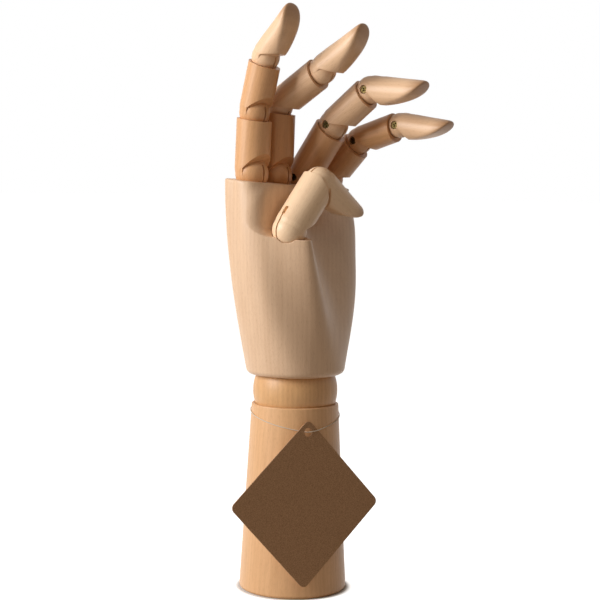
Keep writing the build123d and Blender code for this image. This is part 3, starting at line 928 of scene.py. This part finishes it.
@dataclass
class HangTag:
    """The blank card, and the thread that runs from its hole round the stand.

    Sizes are in metres.
    """

    card: CardFinish = KRAFT_CARD
    thread: ThreadFinish = PALE_THREAD
    thread_diameter: float = 0.45 * MM
    thread_gap: float = 0.06 * MM
    thread_climb: float = 10.3 * MM
    over_card: float = 1.1 * MM
    over_card_middle: float = 4.5 * MM
    over_card_spread: float = 3.5 * MM
    climb_power: float = 1.2
    steps: int = 180
    roundness: int = 2

    def build(self) -> None:
        """Dresses the card, and lays the thread in place of its plain loop."""
        dress("hang_tag", self.card.material())
        dress("tag_thread", self.thread.material())
        self._lay_thread()

    def _hole(self) -> Vector:
        """Finds the card's hole: the lowest point of the frame's loop of thread.

        Returns:
            Its middle.
        """
        corners = [vertex.co for vertex in frame["nodes"]["tag_thread"].data.vertices]
        low = min(corners, key=lambda corner: corner.z)
        near = [corner for corner in corners if (corner - low).length < 2 * self.thread_diameter]
        return sum(near, Vector()) / len(near)

    def _route(self) -> list[Vector]:
        """Works out the thread's route: straight from the hole, then round the stand.

        Returns:
            Points on the middle of the thread, all the way round.
        """
        hole = self._hole()
        start = math.atan2(hole.y, hole.x)
        taper = Taper.of_stand()
        lift = self.thread_diameter / 2 + self.thread_gap
        wrap = taper.radius(hole.z) + lift
        leave = math.acos(wrap / hole.xy.length)
        points = []
        for step in range(self.steps):
            turn = math.tau * (step / self.steps - 0.5)
            height = hole.z + self.thread_climb * math.sin(abs(turn) / 2) ** self.climb_power
            reach = taper.radius(height) + lift
            if abs(turn) < leave:
                reach /= math.cos(leave - abs(turn))
            if turn > 0:
                along = reach * turn - self.over_card_middle
                reach += self.over_card * math.exp(-((along / self.over_card_spread) ** 2))
            angle = start + turn
            points.append(Vector((reach * math.cos(angle), reach * math.sin(angle), height)))
        return points

    def _lay_thread(self) -> None:
        """Makes the thread as a closed tube along its route."""
        curve = bpy.data.curves.new("thread_route", "CURVE")
        curve.dimensions = "3D"
        curve.bevel_depth = self.thread_diameter / 2
        curve.bevel_resolution = self.roundness
        route = self._route()
        spline = curve.splines.new("POLY")
        spline.points.add(len(route) - 1)
        spline.use_cyclic_u = True
        for point, place in zip(spline.points, route):
            point.co = (*place, 1.0)
        blank = bpy.data.objects.new("thread_route", curve)
        mesh = applied(blank)
        mesh.materials.clear()
        mesh.materials.append(frame["nodes"]["tag_thread"].data.materials[0])
        add_piece("taut_thread", mesh, self._body(), "tag_thread")

    @staticmethod
    def _body() -> str:
        """Finds the body that the thread belongs to.

        Returns:
            Its name.
        """
        bodies = frame["record"]["behaviour"]["bodies"]
        return next(body for body, nodes in bodies.items() if "tag_thread" in nodes)


@dataclass
class Lamp:
    """A soft square lamp, placed as the camera sees the hand. Metres and watts."""

    name: str
    across: float
    towards_camera: float
    height: float
    size: float
    power: float
    colour: Colour = (1.0, 1.0, 1.0)

    def build(self, azimuth: float, target: Vector) -> None:
        """Adds the lamp.

        Args:
            azimuth: the camera's azimuth, in radians.
            target: the point that it faces.
        """
        place = Vector((self.across, -self.towards_camera, self.height))
        place.rotate(Matrix.Rotation(azimuth, 3, "Z"))
        data = bpy.data.lights.new(self.name, "AREA")
        data.size = self.size
        data.energy = self.power
        data.color = self.colour
        lamp = bpy.data.objects.new(self.name, data)
        bpy.context.scene.collection.objects.link(lamp)
        lamp.location = place
        lamp.rotation_mode = "QUATERNION"
        lamp.rotation_quaternion = (target - place).to_track_quat("-Z", "Y")
        LOG.info("lit by %s", self.name)


@dataclass
class Studio:
    """Camera, lamps, white floor and white surround.

    Metres and degrees; lens and sensor are in millimetres.
    """

    azimuth: float = -48.0
    distance: float = 0.761
    height: float = 0.2084
    pitch: float = 4.52
    yaw: float = 0.13
    roll: float = 0.88
    lens: float = 89.8
    sensor: float = 36.0
    aim_height: float = 0.15
    ambient: Colour = (0.14, 0.112, 0.085)
    floor_size: float = 30.0
    floor_white: float = 0.94
    # Width of the painted contact shadow round the foot.
    painted_shadow_width: float = 3.5 * MM
    floor_tone: Colour = (0.5, 0.44, 0.375)
    floor_seen: Colour = (0.8, 0.8, 0.8)
    lamps: tuple[Lamp, ...] = (
        Lamp(
            "key",
            across=Side.LEFT.value * 0.96,
            towards_camera=0.4,
            height=0.55,
            size=0.6,
            power=13.7,
        ),
        Lamp(
            "fill",
            across=Side.RIGHT.value * 0.35,
            towards_camera=0.55,
            height=1.2,
            size=0.9,
            power=1.3,
            colour=(1.0, 0.9, 0.78),
        ),
    )

    def build(self) -> None:
        """Adds everything that isn't the object."""
        scene = bpy.context.scene
        scene.view_settings.view_transform = "Standard"
        around = math.radians(self.azimuth)
        target = UP * self.aim_height
        for lamp in self.lamps:
            lamp.build(around, target)
        self._camera(around)
        self._floor()
        self._world()

    def _camera(self, around: float) -> None:
        """Stands the camera where the photograph was taken.

        Args:
            around: its azimuth, in radians.
        """
        data = bpy.data.cameras.new("camera")
        data.sensor_width = self.sensor
        data.lens = self.lens
        camera = bpy.data.objects.new("camera", data)
        bpy.context.scene.collection.objects.link(camera)
        camera.matrix_world = (
            Matrix.Rotation(around, 4, "Z")
            @ Matrix.Translation((0.0, -self.distance, self.height))
            @ Matrix.Rotation(math.radians(-self.yaw), 4, "Z")
            @ Matrix.Rotation(math.radians(90.0 - self.pitch), 4, "X")
            @ Matrix.Rotation(math.radians(self.roll), 4, "Z")
        )
        bpy.context.scene.camera = camera

    @staticmethod
    def _seen_directly(sheet: NodeSheet) -> bpy.types.NodeSocket:
        """Tells rays from the camera, and those that metal or glass sends on, from the rest.

        Args:
            sheet: the material's or the world's sheet.

        Returns:
            One for those rays, and zero for the rest.
        """
        path = sheet.add("ShaderNodeLightPath")
        total = path.outputs["Is Camera Ray"]
        for name in ("Is Glossy Ray", "Is Transmission Ray"):
            largest = sheet.add("ShaderNodeMath", operation="MAXIMUM")
            sheet.link(total, largest.inputs[0])
            sheet.link(path.outputs[name], largest.inputs[1])
            total = largest.outputs["Value"]
        return total

    def _painted_contact_shadow(self, sheet: NodeSheet) -> bpy.types.NodeSocket:
        """Paints a contact shadow: fades the floor's own white out in a ring all round the stand's foot, and the
        floor's real shade shows through it.

        Args:
            sheet: the floor's sheet.

        Returns:
            The white's level.
        """
        coords = sheet.add("ShaderNodeTexCoord")
        distance = sheet.add("ShaderNodeVectorMath", operation="LENGTH")
        sheet.link(coords.outputs["Object"], distance.inputs[0])
        foot = Taper.of_stand().foot_radius
        white = sheet.add("ShaderNodeMapRange", interpolation_type="SMOOTHSTEP")
        white.inputs["From Min"].default_value = foot
        white.inputs["From Max"].default_value = foot + self.painted_shadow_width
        white.inputs["To Min"].default_value = 0.0
        white.inputs["To Max"].default_value = self.floor_white
        sheet.link(distance.outputs["Value"], white.inputs["Value"])
        return white.outputs["Result"]

    def _floor(self) -> None:
        """Lays a wide white floor that keeps a faint shadow, and paints a contact shadow round the foot."""
        half = self.floor_size / 2
        mesh = bpy.data.meshes.new("floor")
        corners = [(-half, -half, 0.0), (half, -half, 0.0), (half, half, 0.0), (-half, half, 0.0)]
        mesh.from_pydata(corners, [], [(0, 1, 2, 3)])
        floor = bpy.data.objects.new("floor", mesh)
        bpy.context.scene.collection.objects.link(floor)
        material, sheet, shader = new_material("white_floor")
        tint = sheet.add("ShaderNodeMix", data_type="RGBA")
        tint.inputs["A"].default_value = (*self.floor_tone, 1.0)
        tint.inputs["B"].default_value = (*self.floor_seen, 1.0)
        sheet.link(self._seen_directly(sheet), tint.inputs["Factor"])
        sheet.link(tint.outputs["Result"], shader.inputs["Base Color"])
        shader.inputs["Roughness"].default_value = 1.0
        shader.inputs["Specular IOR Level"].default_value = 0.0
        glow = sheet.add("ShaderNodeEmission")
        glow.inputs["Color"].default_value = (1.0, 1.0, 1.0, 1.0)
        blend = sheet.add("ShaderNodeAddShader")
        level = sheet.add("ShaderNodeMath", operation="MULTIPLY")
        # Painted contact shadow: the floor's glow fades to nothing at the foot.
        sheet.link(self._painted_contact_shadow(sheet), level.inputs[1])
        sheet.link(self._seen_directly(sheet), level.inputs[0])
        sheet.link(level.outputs["Value"], glow.inputs["Strength"])
        sheet.link(shader.outputs["BSDF"], blend.inputs[0])
        sheet.link(glow.outputs["Emission"], blend.inputs[1])
        output = next(node for node in sheet.tree.nodes if node.type == "OUTPUT_MATERIAL")
        sheet.link(blend.outputs["Shader"], output.inputs["Surface"])
        mesh.materials.append(material)

    def _world(self) -> None:
        """Makes the surround white to the eye and dim to the object."""
        world = bpy.data.worlds.new("surround")
        world.use_nodes = True
        bpy.context.scene.world = world
        sheet = NodeSheet(world.node_tree)
        background = sheet.add("ShaderNodeBackground")
        blend = sheet.add("ShaderNodeMix", data_type="RGBA")
        blend.inputs["A"].default_value = (*self.ambient, 1.0)
        blend.inputs["B"].default_value = (1.0, 1.0, 1.0, 1.0)
        sheet.link(self._seen_directly(sheet), blend.inputs["Factor"])
        sheet.link(blend.outputs["Result"], background.inputs["Color"])
        output = sheet.add("ShaderNodeOutputWorld")
        sheet.link(background.outputs["Background"], output.inputs["Surface"])


def main() -> None:
    """Builds the hand piece by piece, then the studio round it."""
    logging.basicConfig(level=logging.INFO)
    Stand().build()
    Wrist().build()
    Palm().build()
    screws = ScrewMaker()
    screws.build_tree(SCREW_BRASS.material())
    tongue_steel = TONGUE_STEEL.material()
    finger = (Length.PROXIMAL, Length.MIDDLE, Length.TIP)
    plain = (FINGER_WOOD, FINGER_WOOD, TIP_WOOD)
    mixed = (FINGER_WOOD, PALE_FINGER_WOOD, TIP_WOOD)
    # The middle finger's proximal length takes the darker wood as painted shade from the index finger.
    shaded = (SHADE_PAINTED_FINGER_WOOD, PALE_FINGER_WOOD, TIP_WOOD)
    worn_soft = Sanding(voxel=0.25 * MM, passes=700)
    digits = (
        Digit("index", finger, heart=0.05, woods=plain, sanding=worn_soft),
        Digit("middle", finger, heart=0.071, woods=shaded, sanding=worn_soft),
        Digit("ring", finger, heart=0.044, woods=mixed),
        Digit("little", finger, heart=0.063, woods=plain),
        Digit("thumb", (Length.PROXIMAL, Length.TIP), heart=0.056, woods=(THUMB_WOOD, THUMB_WOOD)),
    )
    for digit in digits:
        digit.build(screws, tongue_steel)
    HangTag().build()
    Studio().build()


if __name__ == "__main__":
    main()
